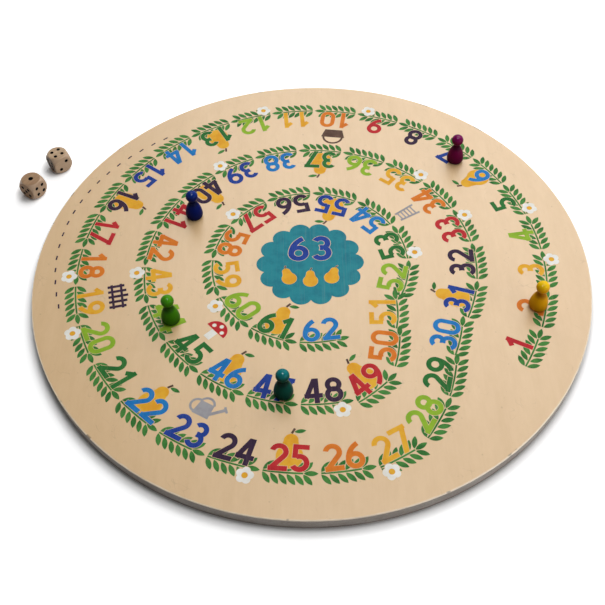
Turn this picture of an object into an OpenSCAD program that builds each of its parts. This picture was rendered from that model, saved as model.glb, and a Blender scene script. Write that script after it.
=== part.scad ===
// Round wooden race board: a spiral track of numbered spaces printed on a veneered panel,
// with five turned pawns standing on it and two wooden dice lying beside it.
// Millimetres, +Z up. The origin is the middle of the board's underside, and the players sit at -Y.

/* [Board] */
// Diameter of the round board
board_d = 400; // [390:2:420]
// Thickness of the whole board
board_t = 10; // [8:0.5:16]
// Thickness of the veneer on each face
veneer_t = 0.6; // [0.5:0.1:1]
// Bevel sanded along each rim
rim_bevel = 0.4; // [0.2:0.1:0.4]

/* [Track] */
// Distance from the rim to the middle of the outer ring of spaces
track_inset = 31; // [29:1:34]
// Distance between two turns of the track
ring_step = 49; // [47:0.5:50]
// Distance from one space to the next along the track
space_pitch = 36; // [35:0.5:36.5]
// Direction of the first space, anticlockwise from +X
start_angle = 331.5; // [0:0.5:359.5]

/* [Print] */
// Thickness of a printed ink film
ink_t = 0.06; // [0.04:0.01:0.1]
// Height of the numbers
digit_h = 19; // [17:0.5:20]
// Width of one figure
digit_w = 12; // [11.5:0.5:12.5]
// Stroke width of the figures
digit_stroke = 3.4; // [2.8:0.1:3.6]
// Bare line kept around a number or a motif printed over another one
keyline = 0.3; // [0.2:0.05:0.4]
// Length of one leaf of a sprig
leaf_l = 9; // [8:0.5:9.5]
// Width of one leaf of a sprig
leaf_w = 3.5; // [3:0.1:3.6]

/* [Pawns] */
// Height of a pawn
pawn_h = 25.2; // [24:0.2:30]
// Largest diameter of a pawn's body
pawn_d = 13; // [12.4:0.2:14]
// Diameter of a pawn's head
head_d = 9; // [8:0.1:9.5]
// Diameter of a pawn's neck
neck_d = 5; // [4:0.2:6]

/* [Dice] */
// Side of a die
die_size = 15.5; // [14:0.5:18]
// Diameter of the sphere that rounds a die, as a share of its side
die_round = 1.36; // [1.32:0.01:1.4]
// Diameter of a pip
pip_d = 2.7; // [2:0.1:2.8]
// Diameter of the single pip on the face of one
single_pip_d = 3.7; // [2.6:0.1:4]
// Distance of the outer pips from the middle of a face, across and up
pip_spread = 2.95; // [2.9:0.05:3.4]

/* [Hidden] */
$fn = 96;
// Thickness of the film being drawn: a motif that is scaled sets it so that the film stays the same
$film_t = ink_t;

// Track: the last space is the middle of the board, the others lie along a spiral.
// Each turn is round up to step_from, as a share of the turn, and then steps inwards.
last_space = 63;
outer_ring_r = board_d / 2 - track_inset;
step_from = 0.87;

// Inks of the numbers, in the order in which they come round
ink_cycle = 8;
CRIMSON = 0;
ORANGE = 1;
AMBER = 2;
LIME = 3;
GREEN = 4;
SKY = 5;
BLUE = 6;
PLUM = 7;

// Spaces that carry a motif beside their number
pear_spaces = [6, 13, 16, 22, 25, 31, 37, 40, 46, 49, 55, 61];
blossom_spaces = [3, 5, 9, 12, 18, 20, 24, 27, 33, 35, 39, 43, 48, 53, 57, 60];
basket_space = 10;
gate_space = 19;
can_space = 23;
ladder_space = 34;
toadstool_space = 45;
shortcut_from = 14;
shortcut_to = 19;

// Figures, on the centre lines of their strokes. The upper bowl reaches a little into the lower one.
fig_w = digit_w - digit_stroke;
fig_h = digit_h - digit_stroke;
bowl_overlap = 0.02;
low_r = fig_w / 2;
top_r = fig_h / 2 - low_r + bowl_overlap * fig_h;
digit_gap = 1.4;
number_lift = 1;

// Sprig of leaves under each number
leaf_pairs = 6;
leaf_step = 5;
leaf_slant = 50;
sprig_start = -15.5;
stem_w = 1.2;
leaf_gap = 0.3;

// Pear: a belly, a crown and straight sides between them. The sides start on the belly at a share of its
// radius out and up, and end at a share of the crown's radius, level with the crown's middle.
belly_r = 8.6;
belly_y = 11.5;
belly_share = [0.72, 0.6];
crown_r = 4.7;
crown_y = 22.5;
crown_share = 0.97;
stalk_w = 1.5;
stalk_l = 4;
stalk_lean = 1.6;
stalk_leaf_y = 1.5;
stalk_leaf_turn = 12;
stalk_leaf_size = 0.82;

// Blossom
petal_count = 5;
petal_r = 2.7;
petal_reach = 3.1;
eye_r = 1.9;
blossom_x = 11;
blossom_y = -5.2;

// Motifs of the special spaces, drawn in the bare band that starts at motif_y above their number
motif_y = 23;
basket_foot_w = 14;
basket_w = 19;
basket_h = 9;
basket_handle_r = 7.6;
basket_handle_w = 1.7;
gate_h = 14;
gate_side_slats = 2;
slat_step = 4.6;
slat_w = 2.2;
rail_l = 22;
rail_w = 1.7;
rail_y = [3, 9.5];
can_foot_w = 12;
can_w = 10;
can_h = 10.5;
can_wire_w = 1.6;
grip_r = 4.6;
hoop_r = 5;
spout_from = [4.5, 3];
spout_to = [13, 11.5];
spout_w = 2.2;
rose_w = 4.8;
ladder_h = 17;
ladder_foot_w = 9;
ladder_top_w = 7;
ladder_stile_w = 1.6;
rung_step = 3;
rung_w = 1.2;
cap_r = 8.5;
spots = [[-4.2, 2.8], [0.4, 5.6], [4.4, 2.2]];
spot_r = 1.3;
toadstool_stem_w = 5.4;
toadstool_stem_h = 8;

// Dashed line along the rim between two spaces, bowed outwards in the middle
dash_count = 18;
dash_l = 4;
dash_w = 1.1;
shortcut_out = 12;
shortcut_bow = 8;

// Middle of the board: a round pool with lobes along its edge
pool_r = 32;
lobe_count = 14;
lobe_r = 8;
lobe_ring_r = 31;
goal_scale = 1.25;
goal_y = 1;
goal_pear_scale = 0.62;
goal_pear_x = 13;
goal_pear_y = -24;
goal_pear_rise = 3;
goal_pear_tilt = 18;

// Pieces, placed for a board of this diameter and moved in or out with the board
drawn_board_d = 400;
spread = board_d / drawn_board_d;
purple_at = [117, 105];
blue_at = [-87, 50];
green_at = [-97, -49];
teal_at = [-19, -111];
yellow_at = [157, -44];
near_die_at = [-218, 89];
near_die_turn = -33;
far_die_at = [-202, 118];
far_die_turn = 39;

// Pawn profile: widest at girth_z, drawn in to the neck at shoulder_z along a line bowed out by side_bow
head_z = pawn_h - head_d / 2;
girth_z = 3;
shoulder_z = 15.2;
side_bow = 0.85;
foot_round = 5;

// Pips: depth of the drilled dimple, how far the paint lies below the face, and its gap to the wood
dimple = 0.7;
paint_drop = 0.12;
paint_gap = 0.03;

// Faces of each die: top, front, right, back, left, bottom. Opposite faces add up to seven.
near_faces = [1, 5, 4, 2, 3, 6];
far_faces = [4, 2, 1, 5, 6, 3];
face_turns = [[0, 0, 0], [90, 0, 0], [90, 0, 90], [90, 0, 180], [90, 0, 270], [180, 0, 0]];

// Track functions: a is the angle travelled from the first space, in degrees
function smooth(t) = t <= 0 ? 0 : t * t * (3 - 2 * t);
function turn_part(a) = a / 360 - floor(a / 360);
function track_r(a) =
    outer_ring_r - ring_step * (floor(a / 360) + smooth((turn_part(a) - step_from) / (1 - step_from)));
function track_slope(a) = (track_r(a + 1) - track_r(a - 1)) * 90 / PI;
function next_angle(a) = a + space_pitch / norm([track_r(a), track_slope(a)]) * 180 / PI;
track = [for (n = 1, a = 0; n < last_space; n = n + 1, a = next_angle(a)) a];

// Moves its children to space n on top of the veneer: x runs along the track, y towards the middle
module at_space(n) {
    a = track[n - 1];
    rotate([0, 0, start_angle + a])
        translate([track_r(a), 0, board_t])
            rotate([0, 0, 90 - atan(track_slope(a) / track_r(a))])
                children();
}

// Straight stroke from p to q, longer by ends at both ends
module bar(p, q, w, ends = 0) {
    v = q - p;
    translate([p.x, p.y, 0])
        rotate([0, 0, atan2(v.y, v.x)])
            translate([-ends, -w / 2, 0])
                cube([norm(v) + 2 * ends, w, $film_t]);
}

// Round stroke about c from angle a0 to angle a1, longer by ends at both ends
module arc(c, r, a0, a1, w, ends = 0) {
    more = ends / r * 180 / PI;
    translate([c.x, c.y, 0])
        rotate([0, 0, a0 - more])
            rotate_extrude(angle = a1 - a0 + 2 * more)
                translate([r - w / 2, 0])
                    square([w, $film_t]);
}

// Flat disc of ink
module dot(c, r) {
    translate([c.x, c.y, 0])
        cylinder(r = r, h = $film_t);
}

// Flat shape of ink with straight sides
module plate(points) {
    linear_extrude($film_t)
        polygon(points);
}

// One figure, made of bars and arcs. grow widens every stroke, to clear a line around the figure.
module digit(d, grow = 0) {
    w = digit_stroke + grow;
    e = grow / 2;
    if (d == 0) {
        arc([low_r, fig_h - low_r], low_r, 0, 180, w);
        arc([low_r, low_r], low_r, 180, 360, w);
        bar([0, low_r], [0, fig_h - low_r], w);
        bar([fig_w, low_r], [fig_w, fig_h - low_r], w);
    }
    if (d == 1) trimmed(grow) {
        bar([0.6 * fig_w, 0], [0.6 * fig_w, fig_h], w, w);
        bar([0.6 * fig_w, fig_h], [0.1 * fig_w, 0.74 * fig_h], w, e);
    }
    if (d == 2) {
        c = [low_r, fig_h - low_r];
        lean = atan2(c.y, c.x) - asin(low_r / norm(c));
        arc(c, low_r, lean - 90, 165, w, e);
        bar(c + low_r * [sin(lean), -cos(lean)], [0, 0], w, e);
        bar([0, 0], [fig_w, 0], w, w / 2);
    }
    if (d == 3) {
        arc([low_r, fig_h - top_r], top_r, -100, 150, w, e);
        arc([low_r, low_r], low_r, -150, 100, w, e);
    }
    if (d == 4) trimmed(grow) {
        bar([0.74 * fig_w, 0], [0.74 * fig_w, fig_h], w, w);
        bar([0, 0.26 * fig_h], [fig_w, 0.26 * fig_h], w, w / 2);
        bar([0, 0.26 * fig_h], [0.58 * fig_w, fig_h], w, e + w / 2);
    }
    if (d == 5) {
        bowl_r = 0.29 * fig_h;
        arc([fig_w - bowl_r, bowl_r], bowl_r, -150, 122, w, e);
        bar([0.12 * fig_w, 0.5 * fig_h], [0.12 * fig_w, fig_h], w, e);
        bar([0.12 * fig_w, fig_h], [0.92 * fig_w, fig_h], w, w / 2);
    }
    if (d == 6) six(w, e);
    if (d == 7) trimmed(grow) {
        bar([0, fig_h], [fig_w, fig_h], w, w / 2);
        bar([0.28 * fig_w, 0], [0.97 * fig_w, fig_h], w, w);
    }
    if (d == 8) {
        arc([low_r, fig_h - top_r], top_r, 0, 360, w);
        arc([low_r, low_r], low_r, 0, 360, w);
    }
    if (d == 9)
        translate([fig_w, fig_h, 0])
            rotate([0, 0, 180])
                six(w, e);
}

// A ring with an arm that sweeps up from its left side, set in a little so that the edges cross
module six(w, ends) {
    reach = [0.8 * fig_w, fig_h - low_r];
    arm_r = (reach.x * reach.x + reach.y * reach.y) / (2 * reach.x);
    set_in = 0.1;
    arc([low_r, low_r], low_r, 0, 360, w);
    arc([arm_r + set_in, low_r], arm_r, 180 - asin(reach.y / arm_r), 180, w, ends);
}

// Cuts its children off flat at the edges of a figure's box
module trimmed(grow) {
    edge = (digit_stroke + grow) / 2;
    intersection() {
        union() children();
        translate([-edge, -edge, -$film_t])
            cube([fig_w + 2 * edge, fig_h + 2 * edge, 3 * $film_t]);
    }
}

// A number of one or two figures, centred on x, standing on the sprig
module number(n, grow = 0) {
    figures = n < 10 ? [n] : [floor(n / 10), n % 10];
    for (i = [0 : len(figures) - 1])
        translate([
            (i - (len(figures) - 1) / 2) * (digit_w + digit_gap) - fig_w / 2,
            number_lift + digit_stroke / 2,
            0
        ])
            digit(figures[i], grow);
}

module numbers_in(ink) {
    for (n = [1 : last_space - 1])
        if ((n - 1) % ink_cycle == ink)
            at_space(n)
                number(n);
}

// Pointed leaf along x: the overlap of two round discs
module leaf(l, w) {
    bow = (l * l + w * w) / (4 * w);
    intersection() {
        dot([l / 2, bow - w / 2], bow);
        dot([l / 2, w / 2 - bow], bow);
    }
}

// Moves its children by x along the track, which bends towards +y with radius r
module along(r, x) {
    translate([0, r, 0])
        rotate([0, 0, x / r * 180 / PI])
            translate([0, -r, 0])
                children();
}

// Leafy sprig that points along the track
module sprig(r) {
    stem_end = sprig_start + (leaf_pairs - 1) * leaf_step;
    to_degrees = 180 / PI / r;
    arc([0, r], r, sprig_start * to_degrees - 90, stem_end * to_degrees - 90, stem_w);
    for (i = [0 : leaf_pairs - 1], side = [-1, 1])
        along(r, sprig_start + i * leaf_step)
            translate([0, side * (stem_w / 2 + leaf_gap), 0])
                rotate([0, 0, side * leaf_slant])
                    leaf(leaf_l, leaf_w);
    along(r, stem_end + leaf_gap)
        leaf(leaf_l, leaf_w);
}

// Pear standing behind a number
module pear(grow = 0) {
    low = [belly_share.x * belly_r + grow, belly_y + belly_share.y * belly_r];
    high = [crown_share * crown_r + grow, crown_y];
    dot([0, belly_y], belly_r + grow);
    dot([0, crown_y], crown_r + grow);
    plate([[-low.x, low.y], low, high, [-high.x, high.y]]);
}

// Stalk of a pear, and the leaf beside it
module stalk(grow = 0) {
    y = crown_y + crown_r;
    bar([0, y + keyline], [stalk_lean, y + stalk_l], stalk_w + 2 * grow, grow);
}

module stalk_leaf() {
    translate([stalk_lean, crown_y + crown_r + stalk_leaf_y, 0])
        rotate([0, 0, stalk_leaf_turn])
            leaf(stalk_leaf_size * leaf_l, stalk_leaf_size * leaf_w);
}

// Petals of a blossom, closed in the middle
module petals(grow = 0) {
    dot([0, 0], petal_reach);
    for (i = [1 : petal_count])
        dot(petal_reach * [sin(360 * i / petal_count), cos(360 * i / petal_count)], petal_r + grow);
}

// Blossoms lie on the outer side of a sprig, on alternate ends
module at_blossoms() {
    for (i = [0 : len(blossom_spaces) - 1])
        at_space(blossom_spaces[i])
            translate([i % 2 == 0 ? blossom_x : -blossom_x, blossom_y, 0])
                children();
}

module at_goal_pears() {
    $film_t = ink_t / goal_pear_scale;
    for (i = [-1 : 1])
        translate([i * goal_pear_x, goal_pear_y + abs(i) * goal_pear_rise, board_t])
            rotate([0, 0, -i * goal_pear_tilt])
                scale(goal_pear_scale)
                    children();
}

module goal_number(grow = 0) {
    $film_t = ink_t / goal_scale;
    translate([0, goal_y, board_t])
        scale(goal_scale)
            number(last_space, grow);
}

// Moves its children to the band above the number of space n
module at_motif(n) {
    at_space(n)
        translate([0, motif_y, 0])
            children();
}

// Shape with a level foot and top of the given widths
module tub(foot_w, top_w, h) {
    plate([[-foot_w / 2, 0], [foot_w / 2, 0], [top_w / 2, h], [-top_w / 2, h]]);
}

module basket() {
    tub(basket_foot_w, basket_w, basket_h);
    arc([0, basket_h - basket_handle_w / 3], basket_handle_r, 0, 180, basket_handle_w);
}

// Slats that get shorter towards the sides, on two rails
module gate() {
    for (i = [-gate_side_slats : gate_side_slats])
        bar([i * slat_step, 0], [i * slat_step, gate_h - abs(i)], slat_w);
    for (y = rail_y)
        bar([-rail_l / 2, y], [rail_l / 2, y], rail_w);
}

module watering_can() {
    spout = (spout_to - spout_from) / norm(spout_to - spout_from);
    across = [-spout.y, spout.x] * rose_w / 2;
    tub(can_foot_w, can_w, can_h);
    bar(spout_from, spout_to, spout_w);
    bar(spout_to - across, spout_to + across, can_wire_w);
    arc([-0.45 * can_foot_w, 0.57 * can_h], grip_r, 80, 275, can_wire_w);
    arc([0, 0.86 * can_h], hoop_r, 15, 165, can_wire_w);
}

module ladder() {
    for (side = [-0.5, 0.5])
        bar([side * ladder_foot_w, 0], [side * ladder_top_w, ladder_h], ladder_stile_w);
    for (y = [rung_step : rung_step : ladder_h - 1])
        bar([-ladder_top_w / 2, y], [ladder_top_w / 2, y], rung_w);
}

// Round cap with its spots left bare, for another ink
module toadstool_cap() {
    translate([0, toadstool_stem_h, 0])
        difference() {
            arc([0, 0], cap_r / 2, 0, 180, cap_r);
            for (c = spots)
                dot(c, spot_r + keyline);
        }
}

module toadstool_white() {
    translate([-toadstool_stem_w / 2, 0, 0])
        cube([toadstool_stem_w, toadstool_stem_h - keyline, $film_t]);
    for (c = spots)
        dot(c + [0, toadstool_stem_h], spot_r);
}

module shortcut() {
    from = start_angle + track[shortcut_from - 1];
    to = start_angle + track[shortcut_to - 1];
    for (i = [0 : dash_count - 1]) {
        part = i / (dash_count - 1);
        rotate([0, 0, from + (to - from) * part])
            translate([outer_ring_r + shortcut_out + shortcut_bow * sin(180 * part), 0, board_t])
                bar([0, -dash_l / 2], [0, dash_l / 2], dash_w);
    }
}

module core_panel() {
    color("#8b827a")
        translate([0, 0, veneer_t])
            cylinder(d = board_d, h = board_t - 2 * veneer_t);
}

// Veneer sheet with its outer edge bevelled, drawn lying on z = 0 with the show side up
module veneer() {
    r = board_d / 2;
    rotate_extrude()
        polygon([[0, 0], [r, 0], [r, veneer_t - rim_bevel], [r - rim_bevel, veneer_t], [0, veneer_t]]);
}

module face_veneer() {
    color("#e3c79f")
        translate([0, 0, board_t - veneer_t])
            veneer();
}

module back_veneer() {
    color("#dcbf96")
        translate([0, 0, veneer_t])
            rotate([180, 0, 0])
                veneer();
}

// Sprigs, cleared around whatever is printed over them
module leaf_ink() {
    color("#4d8b45") {
        for (n = [1 : last_space - 1]) {
            blossoms = search(n, blossom_spaces);
            at_space(n)
                difference() {
                    sprig(track_r(track[n - 1]));
                    number(n, 2 * keyline);
                    if (len(search(n, pear_spaces)) > 0)
                        pear(keyline);
                    if (len(blossoms) > 0)
                        translate([blossoms[0] % 2 == 0 ? blossom_x : -blossom_x, blossom_y, 0])
                            petals(keyline);
                }
        }
        for (n = pear_spaces)
            at_space(n)
                stalk_leaf();
    }
}

module crimson_ink() {
    color("#c02b45") {
        numbers_in(CRIMSON);
        at_motif(toadstool_space)
            toadstool_cap();
    }
}

module orange_ink() {
    color("#e4862d")
        numbers_in(ORANGE);
}

// Numbers, pears and the eyes of the blossoms
module amber_ink() {
    color("#edb441") {
        numbers_in(AMBER);
        for (n = pear_spaces)
            at_space(n)
                difference() {
                    pear();
                    number(n, 2 * keyline);
                }
        at_blossoms()
            dot([0, 0], eye_r);
        at_goal_pears()
            pear();
    }
}

module lime_ink() {
    color("#9cc03e")
        numbers_in(LIME);
}

module green_ink() {
    color("#2f7a3c")
        numbers_in(GREEN);
}

module sky_ink() {
    color("#3b93d3")
        numbers_in(SKY);
}

module blue_ink() {
    color("#2a4da0") {
        numbers_in(BLUE);
        goal_number();
    }
}

// Numbers, gate and dashed line
module plum_ink() {
    color("#3c2745") {
        numbers_in(PLUM);
        at_motif(gate_space)
            gate();
        shortcut();
    }
}

// Scalloped pool in the middle
module teal_ink() {
    color("#2f8a95")
        difference() {
            translate([0, 0, board_t]) {
                dot([0, 0], pool_r);
                for (i = [1 : lobe_count])
                    dot(lobe_ring_r * [cos(360 * i / lobe_count), sin(360 * i / lobe_count)], lobe_r);
            }
            goal_number(2 * keyline);
            at_goal_pears() {
                pear(keyline);
                stalk(keyline);
            }
        }
}

module white_ink() {
    color("#f5f2ea") {
        at_blossoms()
            difference() {
                petals();
                dot([0, 0], eye_r + keyline / 2);
            }
        at_motif(toadstool_space)
            toadstool_white();
    }
}

module brown_ink() {
    color("#6e5346") {
        for (n = pear_spaces)
            at_space(n)
                stalk();
        at_goal_pears()
            stalk();
        at_motif(basket_space)
            basket();
    }
}

module grey_ink() {
    color("#a5a3a5") {
        at_motif(can_space)
            watering_can();
        at_motif(ladder_space)
            ladder();
    }
}

// Half of a pawn's outline: round foot, slightly bowed body, neck and round head
module pawn_profile() {
    r = pawn_d / 2;
    chord = [neck_d / 2 - r, shoulder_z - girth_z];
    bow_r = chord * chord / (8 * side_bow) + side_bow / 2;
    middle = [r, girth_z] + chord / 2;
    outward = [chord.y, -chord.x] / norm(chord);
    intersection() {
        union() {
            intersection() {
                translate([r - foot_round, girth_z])
                    circle(foot_round);
                square([r, girth_z]);
            }
            square([r - foot_round, girth_z]);
            intersection() {
                translate(middle - outward * (bow_r - side_bow))
                    circle(bow_r);
                translate([0, girth_z])
                    square([r, shoulder_z - girth_z]);
            }
            square([neck_d / 2, head_z]);
            translate([0, head_z])
                circle(d = head_d);
        }
        square([pawn_d, 2 * pawn_h]);
    }
}

// Pawn standing on the print
module pawn(at) {
    translate([at.x * spread, at.y * spread, board_t + ink_t])
        rotate_extrude()
            pawn_profile();
}

module purple_pawn() {
    color("#7d1546")
        pawn(purple_at);
}

module blue_pawn() {
    color("#10276e")
        pawn(blue_at);
}

module green_pawn() {
    color("#4a9228")
        pawn(green_at);
}

module teal_pawn() {
    color("#0c5a58")
        pawn(teal_at);
}

module yellow_pawn() {
    color("#dca913")
        pawn(yellow_at);
}

// Places of the pips on a face, in steps of pip_spread
function pip_places(n) =
    concat(
        n % 2 == 1 ? [[0, 0]] : [],
        n > 1 ? [[1, 1], [-1, -1]] : [],
        n > 3 ? [[-1, 1], [1, -1]] : [],
        n == 6 ? [[-1, 0], [1, 0]] : []
    );

// Round plugs of the given depth range below each face of a die
module pips(faces, top, bottom, gap) {
    for (i = [0 : 5])
        rotate(face_turns[i])
            for (p = pip_places(faces[i]))
                translate([p.x * pip_spread, p.y * pip_spread, die_size / 2 - bottom])
                    cylinder(d = (faces[i] == 1 ? single_pip_d : pip_d) - 2 * gap, h = bottom - top);
}

module at_die(at, turn) {
    translate([at.x * spread, at.y * spread, die_size / 2])
        rotate([0, 0, turn])
            children();
}

module die(faces) {
    difference() {
        intersection() {
            cube(die_size, center = true);
            sphere(d = die_size * die_round);
        }
        pips(faces, -dimple, dimple, 0);
    }
}

module near_die() {
    color("#a98a70")
        at_die(near_die_at, near_die_turn)
            die(near_faces);
}

module near_die_pips() {
    color("#141110")
        at_die(near_die_at, near_die_turn)
            pips(near_faces, paint_drop, dimple, paint_gap);
}

module far_die() {
    color("#b0937a")
        at_die(far_die_at, far_die_turn)
            die(far_faces);
}

module far_die_pips() {
    color("#141110")
        at_die(far_die_at, far_die_turn)
            pips(far_faces, paint_drop, dimple, paint_gap);
}

core_panel();
face_veneer();
back_veneer();
leaf_ink();
crimson_ink();
orange_ink();
amber_ink();
lime_ink();
green_ink();
sky_ink();
blue_ink();
plum_ink();
teal_ink();
white_ink();
brown_ink();
grey_ink();
purple_pawn();
blue_pawn();
green_pawn();
teal_pawn();
yellow_pawn();
near_die();
near_die_pips();
far_die();
far_die_pips();
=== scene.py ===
# %% [markdown]
# # A round race board with its pawns and dice
# The board is a veneered panel with a screen print. Pawns stand on it and two wooden dice lie beside it.
# The frame brings every piece at its real size and place. This lesson adds the camera, the finishes, the
# turned pawns, the tumbled dice and the light.

# %% Load the frame
import math

import bmesh
import bpy
from mathutils import Matrix, Vector


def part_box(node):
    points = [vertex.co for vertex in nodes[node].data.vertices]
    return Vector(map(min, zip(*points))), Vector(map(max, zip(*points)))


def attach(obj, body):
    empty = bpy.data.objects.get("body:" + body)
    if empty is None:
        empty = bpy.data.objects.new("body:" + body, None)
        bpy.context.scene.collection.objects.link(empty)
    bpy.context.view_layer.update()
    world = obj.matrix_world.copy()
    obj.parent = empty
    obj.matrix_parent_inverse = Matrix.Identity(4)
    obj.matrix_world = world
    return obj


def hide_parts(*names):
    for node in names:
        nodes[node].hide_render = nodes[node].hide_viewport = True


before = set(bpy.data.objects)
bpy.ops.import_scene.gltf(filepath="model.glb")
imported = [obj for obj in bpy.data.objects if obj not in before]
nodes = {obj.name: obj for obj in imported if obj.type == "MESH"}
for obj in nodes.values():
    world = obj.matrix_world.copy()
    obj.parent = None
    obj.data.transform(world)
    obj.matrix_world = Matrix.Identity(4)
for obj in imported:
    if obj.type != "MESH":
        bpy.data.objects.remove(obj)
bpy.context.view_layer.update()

MM = 0.001
board_low, board_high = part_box("core_panel")
BOARD_R = (board_high.x - board_low.x) / 2
BOARD_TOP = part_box("face_veneer")[1].z
print(f"{len(nodes)} nodes, board {2 * BOARD_R / MM:.0f} mm across, top at {BOARD_TOP / MM:.2f} mm")

# %% [markdown]
# ## Camera
# The photograph looks down on the board from the players' side. Its camera was found from the rim's oval
# and the pawns: a little turned and rolled, as a camera in the hand is. The lens is worked out from a
# focal length in pixels, because the picture's width in pixels is known.

# %% Place the camera
PICTURE_PX = 605
FOCAL_PX = 891.5
SENSOR_MM = 36
NEAREST_SEEN = 10 * MM
CAMERA_PLACE = Vector((0, -422.8, 501)) * MM
CAMERA_TILT = math.radians(51.79)
CAMERA_PAN = math.radians(0.88)
CAMERA_ROLL = math.radians(-1.93)

camera = bpy.data.objects.new("camera", bpy.data.cameras.new("camera"))
bpy.context.scene.collection.objects.link(camera)
camera.data.sensor_width = SENSOR_MM
camera.data.lens = SENSOR_MM * FOCAL_PX / PICTURE_PX
camera.data.clip_start = NEAREST_SEEN
camera.matrix_world = (
    Matrix.Translation(CAMERA_PLACE)
    @ Matrix.Rotation(CAMERA_PAN, 4, "Z")
    @ Matrix.Rotation(math.pi / 2 - CAMERA_TILT, 4, "X")
    @ Matrix.Rotation(CAMERA_ROLL, 4, "Z")
)
bpy.context.scene.camera = camera
print(f"lens {camera.data.lens:.1f} mm, {CAMERA_PLACE.length:.2f} m from the board's middle")

# %% [markdown]
# ## Writing shaders as sums
# A finish is a small net of nodes. Written out node by node it hides what it says, so one class wraps a
# socket: adding or multiplying wrapped sockets adds Math nodes, and `node` makes any other node.

# %% A socket that can be added and multiplied
class Wire:
    """A socket of a material's node tree. Arithmetic on it adds Math nodes."""

    def __init__(self, tree, socket):
        self.tree = tree
        self.socket = socket

    def node(self, kind, settings, inputs, output=0):
        """Adds a node: its settings first, then the values or wires of its sockets."""
        made = self.tree.nodes.new("ShaderNode" + kind)
        for name, value in settings.items():
            setattr(made, name, value)
        for key, value in inputs.items():
            if isinstance(value, Wire):
                self.tree.links.new(value.socket, made.inputs[key])
            else:
                made.inputs[key].default_value = value
        return Wire(self.tree, made.outputs[output])

    def math(self, operation, first, second):
        return self.node("Math", {"operation": operation}, {0: first, 1: second})

    def __add__(self, other):
        return self.math("ADD", self, other)

    def __sub__(self, other):
        return self.math("SUBTRACT", self, other)

    def __rsub__(self, other):
        return self.math("SUBTRACT", other, self)

    def __mul__(self, other):
        return self.math("MULTIPLY", self, other)

    __radd__ = __add__
    __rmul__ = __mul__


# %% Colours, mixes and steps
def srgb(red, green, blue):
    """A colour as a picture stores it, turned into the light that a shader works with."""
    shares = [c / 255 for c in (red, green, blue)]
    return (*[c / 12.92 if c <= 0.04045 else ((c + 0.055) / 1.055) ** 2.4 for c in shares], 1.0)


def mix(factor, first, second):
    """Blends two colours: the first at 0, the second at 1."""
    return factor.node("Mix", {"data_type": "RGBA"}, {0: factor, 6: first, 7: second}, 2)


def step_up(value, low, high, shape="SMOOTHSTEP"):
    """0 below low, 1 above high, and between them a smooth rise or another shape of Map Range."""
    limits = {"Value": value, "From Min": low, "From Max": high}
    return value.node("MapRange", {"interpolation_type": shape}, limits)


# %% Patterns and places
def stretched(place, per_metre, turn=0.0):
    """Coordinates counted in features per metre along each axis, turned about Z first."""
    turned = place.node("Mapping", {}, {"Vector": place, "Rotation": (0, 0, -turn)})
    return place.node("Mapping", {}, {"Vector": turned, "Scale": per_metre})


def noise(place, detail=2.0, roughness=0.5):
    """Soft noise with about one feature for each unit of the place."""
    settings = {"Vector": place, "Scale": 1.0, "Detail": detail, "Roughness": roughness}
    return place.node("TexNoise", {}, settings)


def height_of(place):
    return place.node("SeparateXYZ", {}, {"Vector": place}, "Z")


def distance(place, centre):
    """How far a place lies from an upright line through the centre."""
    flat = place.node("VectorMath", {"operation": "MULTIPLY"}, {0: place, 1: (1, 1, 0)})
    return place.node("VectorMath", {"operation": "DISTANCE"}, {0: flat, 1: (*centre, 0)}, "Value")


def facing_along(place, direction):
    """How squarely the surface faces a direction: 1 straight at it, 0 side on."""
    facing = place.node("TexCoord", {}, {}, "Normal")
    return place.node("VectorMath", {"operation": "DOT_PRODUCT"}, {0: facing, 1: direction}, "Value")


# %% Materials and their sockets
def new_finish(name, **constants):
    """A material with its shader's fixed sockets set, and a wire that holds the place on the object."""
    material = bpy.data.materials.new(name)
    material.use_nodes = True
    tree = material.node_tree
    shader = tree.nodes["Principled BSDF"]
    for socket, value in constants.items():
        shader.inputs[socket.replace("_", " ").title().replace("Ior", "IOR")].default_value = value
    coordinates = tree.nodes.new("ShaderNodeTexCoord")
    return material, shader, Wire(tree, coordinates.outputs["Object"])


def feed(shader, wires):
    """Links wires to the shader's sockets, which are given by name."""
    for socket, wire in wires.items():
        wire.tree.links.new(wire.socket, shader.inputs[socket])


def bump(height, depth, strength=1.0):
    """A normal for relief of a depth in metres."""
    return height.node("Bump", {}, {"Strength": strength, "Distance": depth, "Height": height})


def dress(node, material):
    """Gives a node of the frame its finish."""
    slots = nodes[node].data.materials
    slots.clear()
    slots.append(material)


# %% [markdown]
# ## Veneer
# The face is a pale, fine-grained sheet whose fibres run straight away from the players. A picture of wood
# could be laid on it, but a noise has no seam and keeps its scale on the whole board. So noises stretched
# along the fibre make it: faint bands, fibres under a millimetre wide, and short pores. The contrast is kept
# low, because a close-grained veneer under matt lacquer looks almost plain from a step away. Play has left
# faint scuffs, which are the contour lines of a noise. Hands have paled the upper rim with wear and knocked it
# here and there, and a painted highlight along it stands for the rounded edge catching the light. The lower
# rim is darkened with painted shade where the board meets the table.

# %% Fibre pattern shared by the veneer and the inks on it
# Patterns are given in features per metre: across the fibre, along it and through the sheet.
BANDS = (70, 2.5, 70)
FIBRES = (900, 14, 900)
PORES = (2400, 120, 2400)
FIBRE_RELIEF = 0.02 * MM


def fibres(place):
    """Broad bands, fine fibres and short pores."""
    broad = noise(stretched(place, BANDS), 3.0)
    fine = noise(stretched(place, FIBRES), 2.0, 0.6)
    pores = step_up(noise(stretched(place, PORES), 1.0), 0.66, 0.78)
    return broad, fine, pores


# %% Band and knocks along the rim
BAND_PATCHES = (160, 160, 160)
BAND_DRIFT = 0.8 * MM
BAND_FROM, BAND_TO = BOARD_R - 0.7 * MM, BOARD_R + 0.1 * MM
KNOCKS = (95, 95, 95)
KNOCK_FROM, KNOCK_TO = BOARD_R - 1.6 * MM, BOARD_R - 0.6 * MM


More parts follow.
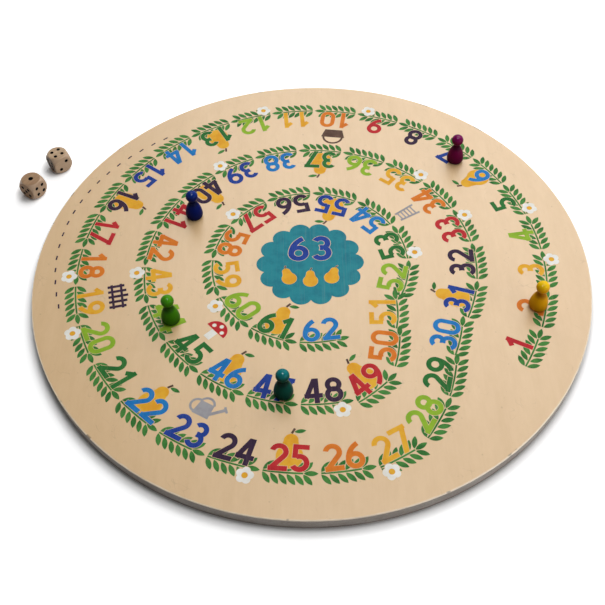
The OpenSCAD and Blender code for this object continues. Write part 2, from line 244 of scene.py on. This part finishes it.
def rim_band_and_knocks(place):
    """The band along the rim that takes the rim tone, and where the rim is knocked."""
    radius = distance(place, (0, 0))
    patchy = noise(stretched(place, BAND_PATCHES), 2.0)
    banded = step_up(radius + patchy * BAND_DRIFT, BAND_FROM, BAND_TO)
    knocks = step_up(noise(stretched(place, KNOCKS), 1.0), 0.65, 0.7)
    knocked = knocks * step_up(radius, KNOCK_FROM, KNOCK_TO)
    return banded, knocked


# %% Scuffs on the face
SCUFF_DRIFT = (140, 90, 140)
SCUFF_TURN = 0.6
SCUFF_HALF_WIDTH = 0.015
SCUFF_PATCHES = (60, 60, 60)


def scuffs(place):
    """Hairlines where a noise passes through its middle value, kept in patches."""
    drift = noise(stretched(place, SCUFF_DRIFT, SCUFF_TURN), 1.0)
    rising = step_up(drift, 0.5 - SCUFF_HALF_WIDTH, 0.5)
    falling = 1 - step_up(drift, 0.5, 0.5 + SCUFF_HALF_WIDTH)
    return rising * falling * step_up(noise(stretched(place, SCUFF_PATCHES), 2.0), 0.54, 0.66)


# %% Veneer finish
CLOUDS = (7, 4, 7)
MOTTLE = (150, 60, 150)
SPECKS = (420, 420, 420)
# Pale wear, with a painted highlight of the rounded upper rim catching the light
PALE_WEAR_AND_HIGHLIGHT = srgb(240, 223, 199)
# Painted shade at the foot of the edge and on the lower rim, where the board meets the table
PAINTED_FOOT_SHADE = srgb(74, 64, 58)
KNOCK = srgb(112, 86, 64)


def veneer(name, pale, tan, pore, rim):
    """Wood between two tones, with pores, specks and scuffs in a third, and a band along the rim in a fourth,
    which is wear with a painted highlight on the face and painted shade on the back.
    """
    material, shader, place = new_finish(name, specular_ior_level=1.0)
    broad, fine, pores = fibres(place)
    cloud = noise(stretched(place, CLOUDS), 2.0)
    mottle = noise(stretched(place, MOTTLE), 3.0, 0.6)
    grain = broad * 0.2 + fine * 0.1 + mottle * 0.3 + cloud * 0.4
    wood = mix(step_up(grain, 0.3, 0.7), pale, tan)
    wood = mix(pores * 0.05, wood, pore)
    specks = step_up(noise(stretched(place, SPECKS), 0.0), 0.83, 0.87)
    wood = mix(specks * 0.3 + scuffs(place) * 0.22, wood, pore)
    banded, knocked = rim_band_and_knocks(place)
    # The rim band: pale wear and painted highlight on the face, painted shade on the back
    wood = mix(banded * 0.85, wood, rim)
    wood = mix(knocked * 0.8, wood, KNOCK)
    feed(shader, {
        "Base Color": wood,
        "Roughness": fine * 0.1 + 0.33,
        "Normal": bump(fine - pores * 0.6, FIBRE_RELIEF, 0.25),
    })
    return material


FACE_TONES = srgb(228, 192, 143), srgb(217, 179, 127), srgb(164, 126, 86)
BACK_TONES = srgb(219, 184, 140), srgb(206, 169, 122), srgb(156, 120, 82)
dress("face_veneer", veneer("face_veneer", *FACE_TONES, PALE_WEAR_AND_HIGHLIGHT))
dress("back_veneer", veneer("back_veneer", *BACK_TONES, PAINTED_FOOT_SHADE))
print("veneer on both faces, rims rubbed and knocked")

# %% [markdown]
# ## Edge of the panel
# The edge is bare fibreboard, grey-brown, sanded round. Under a glass it is a felt of short fibres, darkened
# near the table with painted shade. Single fibres would not show from here, so a fine noise gives their
# colour and a little bump gives their nap.

# %% Fibreboard finish
FELT = (700, 700, 1500)
BLOTCHES = (45, 45, 120)
FLECKS = (1700, 1700, 2600)
FELT_RELIEF = 0.08 * MM
LOWER_SHADE_FULL, LOWER_SHADE_END = 0.6 * MM, 3 * MM


def fibreboard(name, pale, dark):
    """Felt of two tones with dark flecks, and painted shade on its lower part."""
    material, shader, place = new_finish(name, specular_ior_level=0.3)
    felt = noise(stretched(place, FELT), 4.0, 0.65)
    blotch = noise(stretched(place, BLOTCHES), 2.0)
    flecks = step_up(noise(stretched(place, FLECKS), 1.0), 0.62, 0.74)
    tone = mix(step_up(felt * 0.6 + blotch * 0.4, 0.34, 0.66), dark, pale)
    # Painted shade, darkest at the foot of the edge
    lower_shade = 1 - step_up(height_of(place), LOWER_SHADE_FULL, LOWER_SHADE_END)
    tone = mix(lower_shade * 0.6, tone, PAINTED_FOOT_SHADE)
    feed(shader, {
        "Base Color": mix(flecks * 0.3, tone, dark),
        "Roughness": felt * 0.2 + 0.62,
        "Normal": bump(felt, FELT_RELIEF, 0.6),
    })
    return material


dress("core_panel", fibreboard("fibreboard", srgb(168, 160, 153), srgb(138, 128, 120)))
print("fibreboard on the panel")

# %% [markdown]
# ## Inks
# Each ink is a thin film pressed through a screen. It covers well, but the wood's fibre still shows in it,
# and its density drifts a little across the board. The frame already has a film for each ink, so one
# function that makes the finish from two tones serves them all.

# %% Ink finish
INK_DENSITY = (130, 130, 130)
WOOD_THROUGH_INK = srgb(218, 187, 148)


def ink(name, main, deep, drift):
    """Film that drifts from its main tone to a deep one, with a little wood showing through."""
    material, shader, place = new_finish(name, specular_ior_level=0.12)
    broad, fine, pores = fibres(place)
    density = noise(stretched(place, INK_DENSITY), 3.0, 0.6)
    coat = mix(step_up(density, 0.35, 0.7) * drift, main, deep)
    thin = step_up(fine * 0.7 + broad * 0.3, 0.5, 0.74)
    coat = mix(thin * 0.06, coat, WOOD_THROUGH_INK)
    feed(shader, {
        "Base Color": mix(pores * 0.1, coat, deep),
        "Roughness": fine * 0.1 + 0.5,
        "Normal": bump(fine - pores * 0.5, FIBRE_RELIEF, 0.3),
    })
    return material


# %% The thirteen inks
# Main tone, deep tone, and how far the film drifts from one to the other
INKS = {
    "leaf_ink": (srgb(72, 138, 62), srgb(42, 106, 44), 1.0),
    "crimson_ink": (srgb(198, 42, 48), srgb(174, 28, 40), 0.6),
    "orange_ink": (srgb(228, 128, 40), srgb(210, 104, 26), 0.6),
    "amber_ink": (srgb(238, 180, 52), srgb(228, 154, 32), 0.7),
    "lime_ink": (srgb(150, 188, 50), srgb(124, 166, 38), 0.6),
    "green_ink": (srgb(40, 116, 50), srgb(28, 92, 40), 0.6),
    "sky_ink": (srgb(34, 128, 198), srgb(20, 104, 176), 0.6),
    "blue_ink": (srgb(32, 68, 156), srgb(20, 46, 128), 0.6),
    "plum_ink": (srgb(56, 34, 62), srgb(38, 20, 46), 0.6),
    "teal_ink": (srgb(38, 138, 150), srgb(28, 118, 136), 0.8),
    "white_ink": (srgb(248, 246, 240), srgb(230, 226, 216), 0.7),
    "brown_ink": (srgb(108, 80, 66), srgb(80, 56, 46), 0.8),
    "grey_ink": (srgb(166, 164, 168), srgb(142, 140, 145), 0.7),
}
for node, (main, deep, drift) in INKS.items():
    dress(node, ink(node, main, deep, drift))
print(f"{len(INKS)} inks")

# %% [markdown]
# ## Turned pawns
# A pawn comes off a lathe, so its outline is drawn once and spun about its axis. A ball on a cone would be
# quicker, but nothing would soften the joint between them. The frame's pawns have the right sizes. These add
# what the lathe and the lacquer leave: a rounded lower edge, and a soft fillet where the head meets the neck.
# Each arc of the outline is itself a spin of one vertex.

# %% Sizes of a pawn, from the frame
pawn_low, pawn_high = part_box("purple_pawn")
PAWN_R = (pawn_high.x - pawn_low.x) / 2
PAWN_H = pawn_high.z - pawn_low.z
HEAD_R = 4.5 * MM
NECK_R = 2.5 * MM
GIRTH_Z = 3 * MM
SHOULDER_Z = 15.2 * MM
SIDE_BOW = 0.85 * MM
FOOT_ROUND = 5 * MM
FILLET_R = 1.2 * MM
FOOT_STEPS, SIDE_STEPS, FILLET_STEPS, HEAD_STEPS = 8, 12, 6, 20
LATHE_STEPS = 64
print(f"pawns {PAWN_H / MM:.1f} mm tall, {2 * PAWN_R / MM:.1f} mm across")


# %% Lines and arcs of an outline
def swing(bm, vertex, centre, degrees, steps):
    """Carries a vertex round a centre in the outline's plane, leaving edges. Returns the last vertex."""
    made = bmesh.ops.spin(
        bm, geom=[vertex], cent=centre, axis=(0, -1, 0), angle=math.radians(degrees), steps=steps,
    )
    return [v for v in made["geom_last"] if isinstance(v, bmesh.types.BMVert)][0]


def run(bm, vertex, x, z):
    """Draws a straight line from a vertex to x, z. Returns its end."""
    made = bmesh.ops.extrude_vert_indiv(bm, verts=[vertex])["verts"][0]
    made.co = (x, 0, z)
    return made


def angle_of(centre, x, z):
    return math.degrees(math.atan2(z - centre.z, x - centre.x))


# %% Outline of a pawn
def pawn_outline(bm):
    """Half outline of a pawn on its axis, from the middle of its foot to the top of its head."""
    foot = Vector((PAWN_R - FOOT_ROUND, 0, GIRTH_Z))
    foot_start = -math.degrees(math.asin(GIRTH_Z / FOOT_ROUND))
    tip = bm.verts.new((0, 0, 0))
    toe_x = foot.x + FOOT_ROUND * math.cos(math.radians(foot_start))
    tip = run(bm, tip, toe_x, 0)
    tip = swing(bm, tip, foot, -foot_start, FOOT_STEPS)
    chord = Vector((NECK_R - PAWN_R, 0, SHOULDER_Z - GIRTH_Z))
    bow_r = chord.length_squared / (8 * SIDE_BOW) + SIDE_BOW / 2
    outward = Vector((chord.z, 0, -chord.x)).normalized()
    side = Vector((PAWN_R, 0, GIRTH_Z)) + chord / 2 - outward * (bow_r - SIDE_BOW)
    side_turn = angle_of(side, NECK_R, SHOULDER_Z) - angle_of(side, PAWN_R, GIRTH_Z)
    tip = swing(bm, tip, side, side_turn, SIDE_STEPS)
    head = Vector((0, 0, PAWN_H - HEAD_R))
    fillet_x = NECK_R + FILLET_R
    fillet = Vector((fillet_x, 0, head.z - math.sqrt((HEAD_R + FILLET_R) ** 2 - fillet_x ** 2)))
    tip = run(bm, tip, NECK_R, fillet.z)
    meet = (head - fillet).normalized() * FILLET_R + fillet
    tip = swing(bm, tip, fillet, angle_of(fillet, meet.x, meet.z) - 180, FILLET_STEPS)
    swing(bm, tip, head, 90 - angle_of(head, meet.x, meet.z), HEAD_STEPS)


# %% From a bmesh to an object
WELD = 0.001 * MM


def finish_mesh(name, bm, material, smooth_below):
    """Turns a bmesh into an object with normals outwards, and edges below an angle shaded smooth."""
    bmesh.ops.remove_doubles(bm, verts=bm.verts, dist=WELD)
    bmesh.ops.recalc_face_normals(bm, faces=bm.faces)
    mesh = bpy.data.meshes.new(name)
    bm.to_mesh(mesh)
    bm.free()
    mesh.shade_smooth()
    mesh.set_sharp_from_angle(angle=math.radians(smooth_below))
    if material:
        mesh.materials.append(material)
    piece = bpy.data.objects.new(name, mesh)
    bpy.context.scene.collection.objects.link(piece)
    return piece


# %% [markdown]
# ## Lacquer
# Each pawn is dipped. The head is lighter, a painted light from above, and the neck and the foot are darker,
# a painted shade under the head and where the pawn stands on the board. These tones could be painted on the
# vertices, but they follow the height on the pawn, so the height mixes them. Fingers have polished the front
# of the crown, towards the players and up, so the coat is glossy where the head faces that way and thin
# everywhere else.

# %% Lacquer on the pawns
# Heights are shares of the pawn's own.
ON_CROWN = 0.84, 0.985
ABOVE_NECK = 0.66, 0.86
INTO_NECK = 0.44, 0.58
ABOVE_FOOT = 0, 0.42
ABOVE_EDGE = 0, 0.1
POLISHED = (0, -0.42, 0.91)
POLISH_FADE = 0.935, 0.98
LACQUER_CLOUDS = (220, 220, 160)
LATHE_RINGS = (60, 60, 2600)
LATHE_RELIEF = 0.02 * MM


def lacquer(name, head, body, painted_shade_tone):
    """Lacquer of three tones by height: a head lightened as painted light, a body, and painted shade in the
    neck and at the foot; glossy on the front of the crown.
    """
    material, shader, place = new_finish(
        name, specular_ior_level=0.04, coat_roughness=0.1, coat_ior=1.6,
    )
    height = height_of(place) - pawn_low.z
    crown, above_neck, into_neck, above_foot, above_edge = [
        step_up(height, low * PAWN_H, high * PAWN_H)
        for low, high in (ON_CROWN, ABOVE_NECK, INTO_NECK, ABOVE_FOOT, ABOVE_EDGE)
    ]
    in_neck = into_neck * (1 - above_neck)
    cloud = noise(stretched(place, LACQUER_CLOUDS), 3.0)
    rings = noise(stretched(place, LATHE_RINGS), 2.0)
    # Painted shade in the neck under the head and round the foot where the pawn stands
    painted_shade_amount = (in_neck * 0.9 + (1 - above_foot) * 0.8) * (cloud * 0.6 + 0.7) + (1 - above_edge) * 0.5
    polished = step_up(facing_along(place, POLISHED), *POLISH_FADE)
    feed(shader, {
        # The head tone on the crown is painted light
        "Base Color": mix(painted_shade_amount, mix(crown, body, head), painted_shade_tone),
        "Roughness": rings * 0.1 + 0.3,
        "Coat Weight": above_neck * (polished * 0.95 + 0.04) + 0.01,
        "Normal": bump(rings, LATHE_RELIEF, 0.2),
    })
    return material


# %% The five pawns
# Tones of the head, lightened as painted light, of the body, and of the painted shade in the neck and at the
# foot
PAWN_COLOURS = {
    "purple": (srgb(120, 2, 84), srgb(99, 1, 57), srgb(50, 0, 28)),
    "blue": (srgb(3, 40, 122), srgb(3, 20, 94), srgb(3, 8, 44)),
    "green": (srgb(66, 146, 12), srgb(54, 116, 6), srgb(28, 62, 3)),
    "teal": (srgb(10, 114, 118), srgb(3, 68, 60), srgb(1, 30, 24)),
    "yellow": (srgb(250, 203, 8), srgb(217, 157, 5), srgb(150, 92, 4)),
}
SMOOTH_TURNED = 50
for colour, tones in PAWN_COLOURS.items():
    low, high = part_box(colour + "_pawn")
    bm = bmesh.new()
    pawn_outline(bm)
    bmesh.ops.spin(
        bm, geom=bm.verts[:] + bm.edges[:], cent=(0, 0, 0), axis=(0, 0, 1),
        angle=2 * math.pi, steps=LATHE_STEPS, use_merge=True,
    )
    bmesh.ops.translate(bm, verts=bm.verts, vec=((low.x + high.x) / 2, (low.y + high.y) / 2, low.z))
    finish = lacquer(colour + "_lacquer", *tones)
    pawn = finish_mesh("turned_" + colour + "_pawn", bm, finish, SMOOTH_TURNED)
    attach(pawn, colour + "_pawn")
    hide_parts(colour + "_pawn")
    colour + "_lacquer"
    print(f"{pawn.name}: {len(pawn.data.polygons)} faces, {pawn.dimensions.z / MM:.1f} mm tall")

# %% [markdown]
# ## Dice
# A wooden die is a cube tumbled round, so each face ends in a soft circle. A cube with a wide bevel would keep
# square faces. Here a ball is cut flat on six sides, which gives the circles, and a narrow bevel softens
# them. The pips are drilled with a cutter that flares the mouth of each hole. A drop of black paint fills the
# hole and dries a little dished.

# %% Sizes of a die, from the frame
NEAR_FACES = (1, 5, 4, 2, 3, 6)
FAR_FACES = (4, 2, 1, 5, 6, 3)
# Lean and turn, in degrees, that bring the upper side to each face
FACE_TURNS = ((0, 0), (90, 0), (90, 90), (90, 180), (90, 270), (180, 0))
die_low, die_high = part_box("near_die")
DIE_SIZE = die_high.z - die_low.z
DIE_ROUND = 1.36
PIP_R = 1.35 * MM
SINGLE_PIP_R = 1.85 * MM
PIP_SPREAD = 2.95 * MM
DIMPLE = 0.7 * MM
MOUTH = 0.12 * MM
PAINT_GAP = 0.04 * MM
print(f"dice {DIE_SIZE / MM:.1f} mm")

# %% Tumbled body: a ball cut flat on six sides
BALL_AROUND, BALL_UP = 72, 36
CUT_MERGE = 0.0001 * MM
CREASE_STEPS = 5
FLAT_BORDER = 0.25 * MM
MOST_CORNERS_OFF_FLATS = 8


def face_matrix(face):
    """Turns the upper side of a die to one of its six faces."""
    lean, turn = FACE_TURNS[face]
    return Matrix.Rotation(math.radians(turn), 4, "Z") @ Matrix.Rotation(math.radians(lean), 4, "X")


def tumbled_body(crease):
    """Ball with six flats. A border on each flat keeps its shading flat beside the softened crease."""
    bm = bmesh.new()
    bmesh.ops.create_uvsphere(
        bm, u_segments=BALL_AROUND, v_segments=BALL_UP, radius=DIE_SIZE * DIE_ROUND / 2,
    )
    for face in range(len(FACE_TURNS)):
        outward = face_matrix(face).to_3x3() @ Vector((0, 0, 1))
        bmesh.ops.bisect_plane(
            bm, geom=bm.verts[:] + bm.edges[:] + bm.faces[:], dist=CUT_MERGE,
            plane_co=outward * DIE_SIZE / 2, plane_no=outward, clear_outer=True,
        )
    rims = [edge for edge in bm.edges if edge.is_boundary]
    bmesh.ops.holes_fill(bm, edges=rims, sides=0)
    bmesh.ops.bevel(
        bm, geom=rims, offset=crease, segments=CREASE_STEPS, profile=0.5, affect="EDGES", material=-1,
        offset_type="OFFSET",
    )
    flats = [face for face in bm.faces if len(face.verts) > MOST_CORNERS_OFF_FLATS]
    bmesh.ops.inset_individual(bm, faces=flats, thickness=FLAT_BORDER, depth=0)
    return bm


# %% Places of the pips
PIP_STEPS = 28


def pip_places(count):
    places = [(0, 0)] if count % 2 else []
    places += [(1, 1), (-1, -1)] if count > 1 else []
    places += [(-1, 1), (1, -1)] if count > 3 else []
    places += [(-1, 0), (1, 0)] if count == 6 else []
    return places


def at_pips(faces, outline):
    """Spins an outline at each pip of a die. The outline gets a bmesh and the pip's radius."""
    bm = bmesh.new()
    for face, count in enumerate(faces):
        for across, up in pip_places(count):
            before = set(bm.verts)
            outline(bm, SINGLE_PIP_R if count == 1 else PIP_R)
            made = [v for v in bm.verts if v not in before]
            edges = [edge for edge in bm.edges if edge.verts[0] not in before]
            bmesh.ops.spin(
                bm, geom=made + edges, cent=(0, 0, 0), axis=(0, 0, 1),
                angle=2 * math.pi, steps=PIP_STEPS, use_merge=True,
            )
            made = [v for v in bm.verts if v not in before]
            place = Matrix.Translation((across * PIP_SPREAD, up * PIP_SPREAD, DIE_SIZE / 2))
            bmesh.ops.transform(bm, matrix=face_matrix(face) @ place, verts=made)
    return bm


# %% Cutter and paint of a pip
def cutter_outline(bm, radius):
    """Straight drill with a mouth that flares out through the face."""
    tip = run(bm, bm.verts.new((0, 0, -DIMPLE)), radius, -DIMPLE)
    tip = run(bm, tip, radius, -MOUTH)
    tip = run(bm, tip, radius + 2 * MOUTH, MOUTH)
    run(bm, tip, 0, MOUTH)


def paint_outline(bm, radius):
    """A drop of paint that fills the hole, clings to its mouth and dries dished."""
    floor_z = PAINT_GAP - DIMPLE
    tip = run(bm, bm.verts.new((0, 0, floor_z)), radius - PAINT_GAP, floor_z)
    tip = run(bm, tip, radius - PAINT_GAP, -MOUTH)
    tip = run(bm, tip, radius + MOUTH - 2 * PAINT_GAP, -PAINT_GAP / 2)
    tip = run(bm, tip, radius - MOUTH, -0.8 * MOUTH)
    tip = run(bm, tip, 0.5 * radius, -1.5 * MOUTH)
    run(bm, tip, 0, -1.7 * MOUTH)


# %% Drilling
SMOOTH_CUT = 30


def drilled(body, cutters):
    """Takes the cutters out of a body, and leaves the result in its mesh."""
    tool = finish_mesh("cutters", cutters, None, SMOOTH_CUT)
    drill = body.modifiers.new("drill", "BOOLEAN")
    drill.object = tool
    drill.solver = "EXACT"
    bpy.context.view_layer.update()
    shaped = body.evaluated_get(bpy.context.evaluated_depsgraph_get())
    mesh = bpy.data.meshes.new_from_object(shaped)
    body.modifiers.clear()
    body.data = mesh
    mesh.set_sharp_from_angle(angle=math.radians(SMOOTH_CUT))
    bpy.data.objects.remove(tool)


# %% [markdown]
# ## Wood and paint of the dice
# The dice are hardwood finished with oil. End grain drinks more oil than the sides and turns darker; here it
# is made dark enough to be painted shade on the faces turned from the lamps, and the sides along the fibre
# are paled as painted light. The edges are pale from handling and from a painted highlight of the creases.
# Which way a point faces tells these apart, so the normal mixes the tones and no map has to be painted.

# %% Oiled wood
DIE_GRAIN = (160, 900, 900)
DIE_RINGS = (40, 320, 240)
DIE_PORES = (500, 3200, 3200)
DIE_RELIEF = 0.04 * MM
LIT_AND_WORN_PALE = srgb(208, 178, 150)


def die_wood(name, pale, warm, pore_and_end_shade, centre, turn):
    """Wood with its fibre along the turned x axis: end grain darkened as painted shade, sides paled as painted
    light, and edges pale from wear and painted highlight.
    """
    material, shader, place = new_finish(name, specular_ior_level=0.06, coat_roughness=0.25)
    along = (math.cos(turn), math.sin(turn), 0)
    beside = (-along[1], along[0], 0)
    across, flat = facing_along(place, along), facing_along(place, beside)
    end_on, side_on = across * across, flat * flat
    squarest = place.math("MAXIMUM", place.math("MAXIMUM", end_on, side_on), 1 - end_on - side_on)
    worn_and_highlight = step_up(1 - squarest, 0.03, 0.5)
    local = place.node("VectorMath", {"operation": "SUBTRACT"}, {0: place, 1: centre})
    grain = noise(stretched(local, DIE_GRAIN, turn), 3.0, 0.6)
    rings = noise(stretched(local, DIE_RINGS, turn), 2.0)
    pores = step_up(noise(stretched(local, DIE_PORES, turn), 1.0), 0.64, 0.76)
    tone = mix(step_up(grain * 0.45 + rings * 0.55, 0.33, 0.67), pale, warm)
    # Painted light: the sides along the fibre are paler
    tone = mix(step_up(side_on, 0.2, 1.0) * 0.6, tone, LIT_AND_WORN_PALE)
    # Painted shade on the end grain, together with real end grain darkening
    tone = mix(step_up(end_on, 0.2, 1.0) * (rings * 0.6 + 0.5), tone, pore_and_end_shade)
    # Pale edges: wear and a painted highlight of the creases
    tone = mix(worn_and_highlight * (0.8 - step_up(end_on, 0.05, 0.5) * 0.4), tone, LIT_AND_WORN_PALE)
    feed(shader, {
        "Base Color": mix(pores * 0.25, tone, pore_and_end_shade),
        "Roughness": grain * 0.2 + 0.33,
        "Coat Weight": worn_and_highlight * 0.9,
        "Normal": bump(grain - pores * 0.5, DIE_RELIEF, 0.4),
    })
    return material


# %% Black paint
PAINT_BLOTS = (900, 900, 900)
PAINT_RELIEF = 0.05 * MM


def pip_paint(name):
    material, shader, place = new_finish(name, specular_ior_level=0.02)
    blot = noise(stretched(place, PAINT_BLOTS), 2.0)
    feed(shader, {
        "Base Color": mix(blot, srgb(2, 1, 1), srgb(9, 7, 6)),
        "Roughness": blot * 0.3 + 0.4,
        "Normal": bump(blot, PAINT_RELIEF, 0.5),
    })
    return material


# %% The two dice
# Pips of the faces, turn of the die and of its fibre in degrees, width of the crease, and the pale, warm
# and end-grain tones of the wood. The fibre is turned so that the end grain, darkened as painted shade,
# falls on each die's left face.
DICE = {
    "near_die": (
        NEAR_FACES, -33, 57, 0.55 * MM,
        srgb(182, 150, 119), srgb(160, 126, 96), srgb(153, 119, 90),
    ),
    "far_die": (
        FAR_FACES, 39, 39, 0.8 * MM,
        srgb(212, 184, 152), srgb(186, 155, 124), srgb(70, 50, 35),
    ),
}
SMOOTH_PAINT = 40
for node, (faces, degrees, fibre, crease, *tones) in DICE.items():
    low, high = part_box(node)
    centre = (low + high) / 2
    turn = math.radians(degrees)
    bm = tumbled_body(crease)
    wood = die_wood(node + "_wood", *tones, centre, math.radians(fibre))
    body = finish_mesh("tumbled_" + node, bm, wood, SMOOTH_CUT)
    drilled(body, at_pips(faces, cutter_outline))
    drops = at_pips(faces, paint_outline)
    paint = finish_mesh("painted_" + node + "_pips", drops, pip_paint(node + "_paint"), SMOOTH_PAINT)
    for piece, stands_for, slot in ((body, node, "die_wood"), (paint, node + "_pips", "pip_paint")):
        piece.data.transform(Matrix.Translation(centre) @ Matrix.Rotation(turn, 4, "Z"))
        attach(piece, node)
        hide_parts(stands_for)
        print(f"{piece.name}: {len(piece.data.polygons)} faces")

# %% [markdown]
# ## Floor
# The set lies on white paper that runs out of the picture. Lit by lamps alone it would turn grey away from
# them. So the paper also shines a little, for the camera and for reflections only: more where the lamps no
# longer reach, and not close to the pieces, where the shadows at their feet are kept. There the paper stays
# greyer than elsewhere, partly real shadow and partly painted shade, set a little to the left of each die.

# %% What the camera and reflections see
def in_sight(wire):
    """1 for rays of the camera, of gloss and of glass, 0 for the rays that light the set."""
    kinds = ("Camera", "Glossy", "Transmission")
    rays = [wire.node("LightPath", {}, {}, f"Is {kind} Ray") for kind in kinds]
    return rays[0] + rays[1] + rays[2]


# %% Paper
PAPER_GRAIN = (300, 300, 300)
PAPER_SHINE = 0.5
SHINE_FROM, SHINE_FULL = BOARD_R + 0.4 * MM, BOARD_R + 7.4 * MM
SHADE_OF_DIE = Vector((-4, 1, 0)) * MM
SHADE_FULL, SHADE_END = DIE_SIZE * 0.5, DIE_SIZE * 0.95
LAMPS_FADE, LAMPS_END = 2 * BOARD_R, 7 * BOARD_R

paper, shader, place = new_finish("paper", roughness=0.9, specular_ior_level=0.1)
paper_grain = noise(stretched(place, PAPER_GRAIN), 2.0)
feed(shader, {"Base Color": mix(paper_grain, srgb(252, 252, 252), srgb(248, 248, 248))})
from_middle = distance(place, (0, 0))
# Without the glow the paper near the board and the dice is greyer: real shadow, and painted shade where no
# shadow falls, as under a lifted die
clear = step_up(from_middle, SHINE_FROM, SHINE_FULL, "LINEAR")
for node in DICE:
    low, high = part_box(node)
    shade = (low + high) / 2 + SHADE_OF_DIE
    clear = clear * step_up(distance(place, shade[:2]), SHADE_FULL, SHADE_END)
far_off = step_up(from_middle, LAMPS_FADE, LAMPS_END)
glow = clear * (far_off * (1 - PAPER_SHINE) + PAPER_SHINE)
shine = place.node("Emission", {}, {"Color": in_sight(place) * glow})
shown = place.node("AddShader", {}, {0: Wire(place.tree, shader.outputs[0]), 1: shine})
place.tree.links.new(shown.socket, place.tree.nodes["Material Output"].inputs["Surface"])

# %% Floor
FLOOR_SIZE = 12
FLOOR_DROP = 0.2 * MM
SMOOTH_FLOOR = 30
bm = bmesh.new()
bmesh.ops.create_grid(bm, x_segments=1, y_segments=1, size=FLOOR_SIZE / 2)
bmesh.ops.translate(bm, verts=bm.verts, vec=(0, 0, -FLOOR_DROP))
floor = finish_mesh("floor", bm, paper, SMOOTH_FLOOR)
print(f"floor laid, {FLOOR_SIZE} m across")

# %% [markdown]
# ## Light
# A small lamp above the board makes the glints on the heads. A wide one behind and one at the right soften
# the shadows, a large one far behind gives the veneer its sheen, and a low one at the right front lights the
# edge of the board. One big lamp would be simpler, but it would veil the dark lacquer. The walls of the
# studio are white near the horizon, which only the camera and reflections see: they pale the far side of the
# lacquer.


# %% Lamps
def lamp(name, place, aim, width, height, power):
    light = bpy.data.lights.new(name, "AREA")
    light.shape = "ELLIPSE"
    light.size = width
    light.size_y = height
    light.energy = power
    piece = bpy.data.objects.new(name, light)
    piece.location = place
    piece.rotation_euler = (Vector(aim) - Vector(place)).to_track_quat("-Z", "Y").to_euler()
    bpy.context.scene.collection.objects.link(piece)


# Place, aim, width and height in metres, and power in watts
LAMPS = {
    "overhead": ((0.03, -0.09, 0.6), (0.03, -0.09, 0), 0.16, 0.16, 0.58),
    "behind": ((0.2, 0.38, 0.8), (0, 0, 0), 1.4, 1.4, 2.2),
    "right": ((1.3, 0.6, 1.3), (0, 0, 0), 1.2, 1.2, 4.5),
    "far": ((0.3, 1.15, 1.25), (0.02, 0.02, 0), 1.9, 1.3, 15.3),
    "side": ((0.85, -0.55, 0.22), (0, 0, 0), 0.9, 0.9, 4.2),
}
for name, row in LAMPS.items():
    lamp(name, *row)
print(f"{len(LAMPS)} lamps")

# %% Sky and walls
SKY = 0.07
WALLS_WHITE, WALLS_END = 0.45, 0.75
world = bpy.data.worlds.new("studio")
bpy.context.scene.world = world
world.use_nodes = True
background = world.node_tree.nodes["Background"]
background.inputs["Color"].default_value = (1, 1, 1, 1)
sky = Wire(world.node_tree, background.outputs[0])
towards = sky.node("TexCoord", {}, {}, "Generated")
walls = 1 - step_up(height_of(towards), WALLS_WHITE, WALLS_END)
strength = in_sight(sky) * walls * (1 - SKY) + SKY
world.node_tree.links.new(strength.socket, background.inputs["Strength"])
bpy.context.scene.view_settings.view_transform = "Standard"
print(f"sky at {SKY}, white walls")
